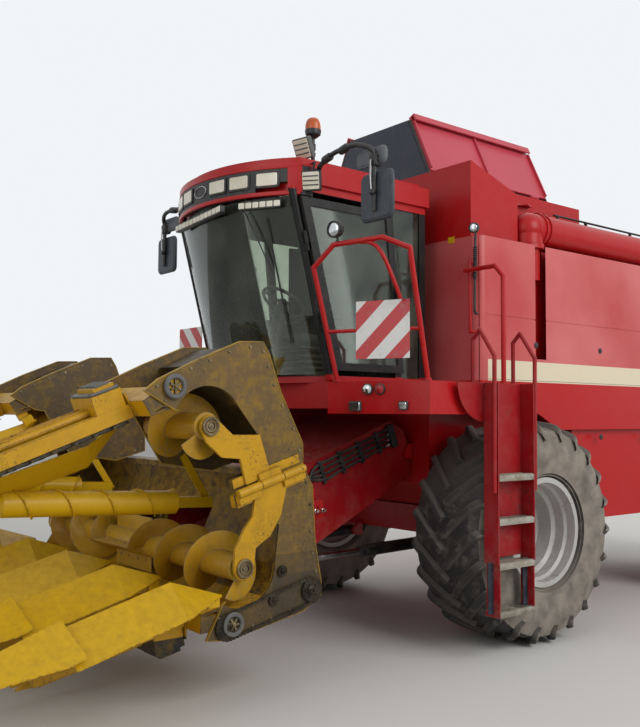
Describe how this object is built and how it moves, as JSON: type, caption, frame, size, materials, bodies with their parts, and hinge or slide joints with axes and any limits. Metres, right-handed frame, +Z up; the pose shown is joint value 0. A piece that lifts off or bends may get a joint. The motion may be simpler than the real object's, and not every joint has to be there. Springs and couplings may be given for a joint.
{
  "type": "combine harvester",
  "caption": "Self-propelled combine harvester on four wheels with cab, grain tank, unloading auger, feeder house and a folding row-crop header with its wings folded in.",
  "frame": {"origin": "on the ground, under the middle of the whole machine's box", "axes": "+X forward along the machine, +Y to the driver's left, +Z up"},
  "size_m": [10.7397, 3.5794, 4.5419],
  "materials": {
    "red_paint": "weathered gloss",
    "yellow_paint": "dirty gloss",
    "dark_paint": "satin",
    "black_plastic": "moulded",
    "black_paint": "satin",
    "silver_paint": "satin",
    "bright_steel": "bright",
    "worn_steel": "worn",
    "tyre_rubber": "dusty",
    "seat_fabric": "woven",
    "clear_glass": "clear",
    "tinted_glass": "tinted",
    "lamp_plastic": "clear lens",
    "striped_board": "retroreflective"
  },
  "bodies": {
    "root": {"chassis_frame": "red_paint", "front_axle": "red_paint", "separator_housing": "red_paint", "side_panels_left": "red_paint", "side_panels_right": "red_paint", "grain_tank": "red_paint", "tank_end_panels": "dark_paint", "engine_block": "dark_paint", "engine_hood": "red_paint", "rear_hood": "red_paint", "chopper_housing": "dark_paint", "rear_axle": "red_paint", "cab_frame": "red_paint", "cab_roof": "red_paint", "cab_visor": "black_plastic", "windscreen": "clear_glass", "cab_windows": "tinted_glass", "seat": "seat_fabric", "cab_controls": "black_plastic", "platform": "red_paint", "platform_rails": "red_paint", "warning_boards": "striped_board", "ladder": "red_paint", "mirrors": "black_plastic", "work_lamps": "lamp_plastic", "auger_elbow": "red_paint"},
    "front_wheel_left": {"rim_front_left": "silver_paint", "tyre_front_left": "tyre_rubber"},
    "front_wheel_right": {"rim_front_right": "silver_paint", "tyre_front_right": "tyre_rubber"},
    "steering_left": {"knuckle_left": "red_paint"},
    "steering_right": {"knuckle_right": "red_paint"},
    "rear_wheel_left": {"rim_rear_left": "silver_paint", "tyre_rear_left": "tyre_rubber"},
    "rear_wheel_right": {"rim_rear_right": "silver_paint", "tyre_rear_right": "tyre_rubber"},
    "cab_door": {"cab_door": "black_paint", "door_glass": "clear_glass"},
    "tank_cover_left": {"tank_cover_left": "red_paint"},
    "tank_cover_right": {"tank_cover_right": "red_paint"},
    "unloading_auger": {"unloading_auger": "red_paint"},
    "air_screen": {"air_screen": "black_paint"},
    "chopper_rotor": {"chopper_rotor": "worn_steel"},
    "feeder": {"feeder_house": "red_paint", "header_frame": "yellow_paint", "header_hoods": "yellow_paint", "row_units": "yellow_paint", "gathering_chains": "dark_paint"},
    "lift_barrels": {"lift_barrels": "black_paint"},
    "lift_rods": {"lift_rods": "bright_steel"},
    "header_auger": {"header_auger": "yellow_paint"},
    "wing_left": {"wing_frame_left": "yellow_paint", "wing_chains_left": "dark_paint", "wing_hood_left": "yellow_paint"},
    "wing_right": {"wing_frame_right": "yellow_paint", "wing_chains_right": "dark_paint", "wing_hood_right": "yellow_paint"},
    "wing_auger_left": {"wing_auger_left": "yellow_paint"},
    "wing_auger_right": {"wing_auger_right": "yellow_paint"}
  },
  "joints": [
    {"name": "front_wheel_left_spin", "type": "hinge", "parent": "root", "child": "front_wheel_left", "pos_m": [0.23015, 1.32, 0.885], "axis": [0, 1, 0], "continuous": true},
    {"name": "front_wheel_right_spin", "type": "hinge", "parent": "root", "child": "front_wheel_right", "pos_m": [0.23015, -1.32, 0.885], "axis": [0, 1, 0], "continuous": true},
    {"name": "steer_left", "type": "hinge", "parent": "root", "child": "steering_left", "pos_m": [-3.21985, 0.985, 0.66], "axis": [0, 0, 1], "range_deg": [-28, 28]},
    {"name": "steer_right", "type": "hinge", "parent": "root", "child": "steering_right", "pos_m": [-3.21985, -0.985, 0.66], "axis": [0, 0, 1], "range_deg": [-28, 28]},
    {"name": "rear_wheel_left_spin", "type": "hinge", "parent": "steering_left", "child": "rear_wheel_left", "pos_m": [-3.21985, 1.29, 0.66], "axis": [0, 1, 0], "continuous": true},
    {"name": "rear_wheel_right_spin", "type": "hinge", "parent": "steering_right", "child": "rear_wheel_right", "pos_m": [-3.21985, -1.29, 0.66], "axis": [0, 1, 0], "continuous": true},
    {"name": "cab_door_hinge", "type": "hinge", "parent": "root", "child": "cab_door", "pos_m": [1.90922, 0.873, 2.5], "axis": [-0.2571, 0, -0.9664], "range_deg": [0, 55]},
    {"name": "tank_cover_left_hinge", "type": "hinge", "parent": "root", "child": "tank_cover_left", "pos_m": [-0.26985, 0.67, 3.963], "axis": [1, 0, 0], "range_deg": [-25, 62]},
    {"name": "tank_cover_right_hinge", "type": "hinge", "parent": "root", "child": "tank_cover_right", "pos_m": [-0.26985, -0.67, 3.963], "axis": [-1, 0, 0], "range_deg": [-25, 62]},
    {"name": "unloading_auger_swivel", "type": "hinge", "parent": "root", "child": "unloading_auger", "pos_m": [-0.18985, 1.15, 3.46], "axis": [0, 0, -1], "range_deg": [0, 100]},
    {"name": "air_screen_spin", "type": "hinge", "parent": "root", "child": "air_screen", "pos_m": [-2.61985, -1.2, 2.79], "axis": [0, 1, 0], "continuous": true},
    {"name": "chopper_rotor_spin", "type": "hinge", "parent": "root", "child": "chopper_rotor", "pos_m": [-4.44985, 0, 1.12], "axis": [0, 1, 0], "continuous": true},
    {"name": "feeder_lift", "type": "hinge", "parent": "root", "child": "feeder", "pos_m": [0.72015, 0, 1.5], "axis": [0, -1, 0], "range_deg": [-3.4, 22]},
    {"name": "lift_barrels_swing", "type": "hinge", "parent": "root", "child": "lift_barrels", "pos_m": [0.44015, 0, 0.7], "axis": [0, -1, 0], "range_deg": [-14, 40]},
    {"name": "lift_rods_slide", "type": "slide", "parent": "lift_barrels", "child": "lift_rods", "axis": [0.9997, 0, -0.0234], "range_m": [-0.16, 0.4]},
    {"name": "header_auger_spin", "type": "hinge", "parent": "feeder", "child": "header_auger", "pos_m": [3.00415, 0, 0.861], "axis": [0, 1, 0], "continuous": true},
    {"name": "wing_left_fold", "type": "hinge", "parent": "feeder", "child": "wing_left", "pos_m": [3.13615, 1.5, 1.298], "axis": [-0.9593, 0, 0.2823], "range_deg": [0, 180]},
    {"name": "wing_right_fold", "type": "hinge", "parent": "feeder", "child": "wing_right", "pos_m": [3.13615, -1.5, 1.298], "axis": [0.9593, 0, -0.2823], "range_deg": [0, 180]},
    {"name": "wing_auger_left_spin", "type": "hinge", "parent": "wing_left", "child": "wing_auger_left", "pos_m": [3.26192, 1.1, 1.73683], "axis": [0, 1, 0], "continuous": true},
    {"name": "wing_auger_right_spin", "type": "hinge", "parent": "wing_right", "child": "wing_auger_right", "pos_m": [3.26192, -1.1, 1.73683], "axis": [0, 1, 0], "continuous": true}
  ],
  "couplings": [
    {"joint": "steer_right", "follows": "steer_left", "ratio": 1},
    {"joint": "lift_barrels_swing", "follows": "feeder_lift", "ratio": 0.7541},
    {"joint": "lift_rods_slide", "follows": "feeder_lift", "m_per_rad": 0.75638}
  ]
}
